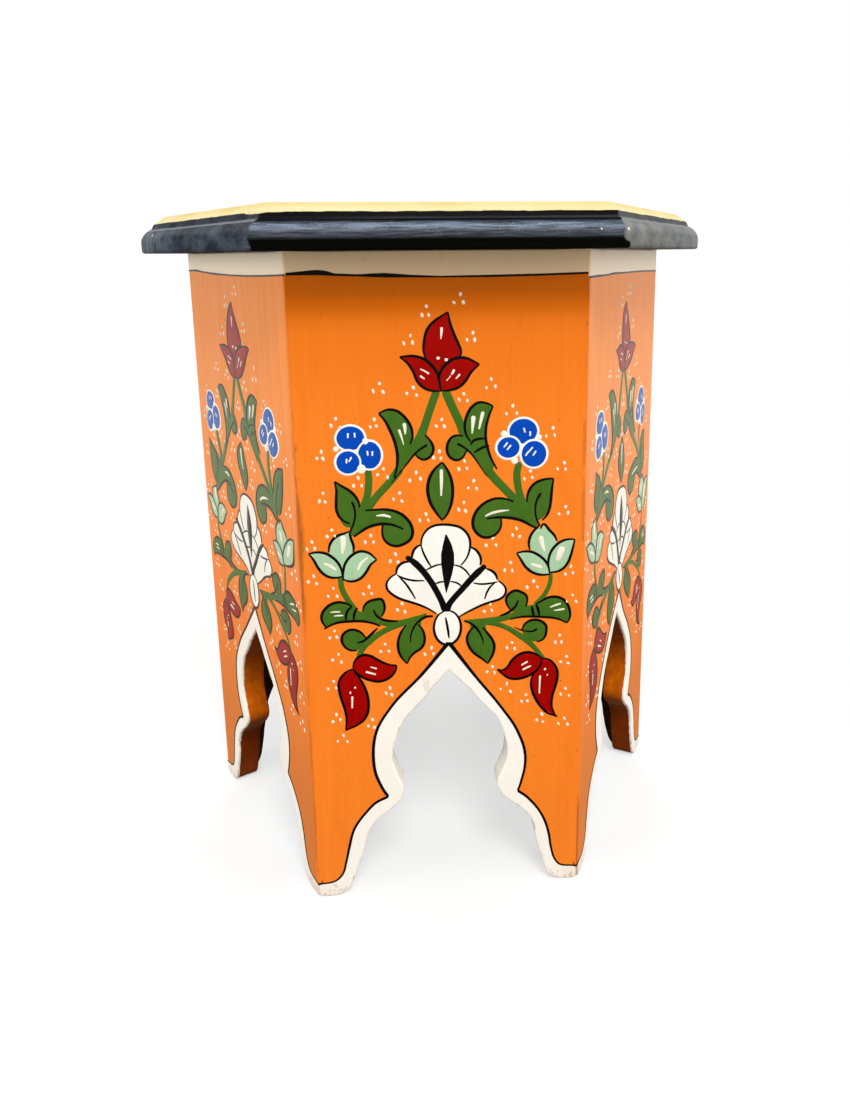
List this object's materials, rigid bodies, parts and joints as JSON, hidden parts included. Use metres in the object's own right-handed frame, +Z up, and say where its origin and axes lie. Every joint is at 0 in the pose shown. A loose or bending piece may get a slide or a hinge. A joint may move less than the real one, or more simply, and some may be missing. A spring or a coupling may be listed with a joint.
{
  "type": "kursi stool",
  "caption": "Hexagonal painted wooden kursi stool: mitred side panels with cusped ogee arches that leave a foot at each corner, under an overhanging top with a moulded edge.",
  "frame": {"origin": "middle of the footprint, on the floor under the feet", "axes": "+Z up; the front panel faces -Y; two corners of the hexagon lie on the X axis"},
  "size_m": [0.4136, 0.3582, 0.4475],
  "materials": {
    "body_paint": "hand-painted orange ground with a varnish sheen, cream borders and floral motifs",
    "top_paint": "glossy black paint on the moulded edge, pale yellow on the bevel and painted on top",
    "bare_wood": "rough-sawn softwood, unpainted or stained by the orange paint",
    "nail_iron": "dull cut iron"
  },
  "bodies": {
    "root": {"panel_front": "body_paint", "panel_front_right": "body_paint", "panel_back_right": "body_paint", "panel_back": "body_paint", "panel_back_left": "body_paint", "panel_front_left": "body_paint", "top_board_front": "top_paint", "top_board_middle": "top_paint", "top_board_back": "top_paint", "cleat_front": "bare_wood", "cleat_front_right": "bare_wood", "cleat_back_right": "bare_wood", "cleat_back": "bare_wood", "cleat_back_left": "bare_wood", "cleat_front_left": "bare_wood", "glue_block_right": "bare_wood", "glue_block_right_back": "bare_wood", "glue_block_left_back": "bare_wood", "glue_block_left": "bare_wood", "glue_block_left_front": "bare_wood", "glue_block_right_front": "bare_wood", "dowels": "bare_wood", "cleat_nails": "nail_iron", "corner_nails": "nail_iron"}
  },
  "joints": []
}
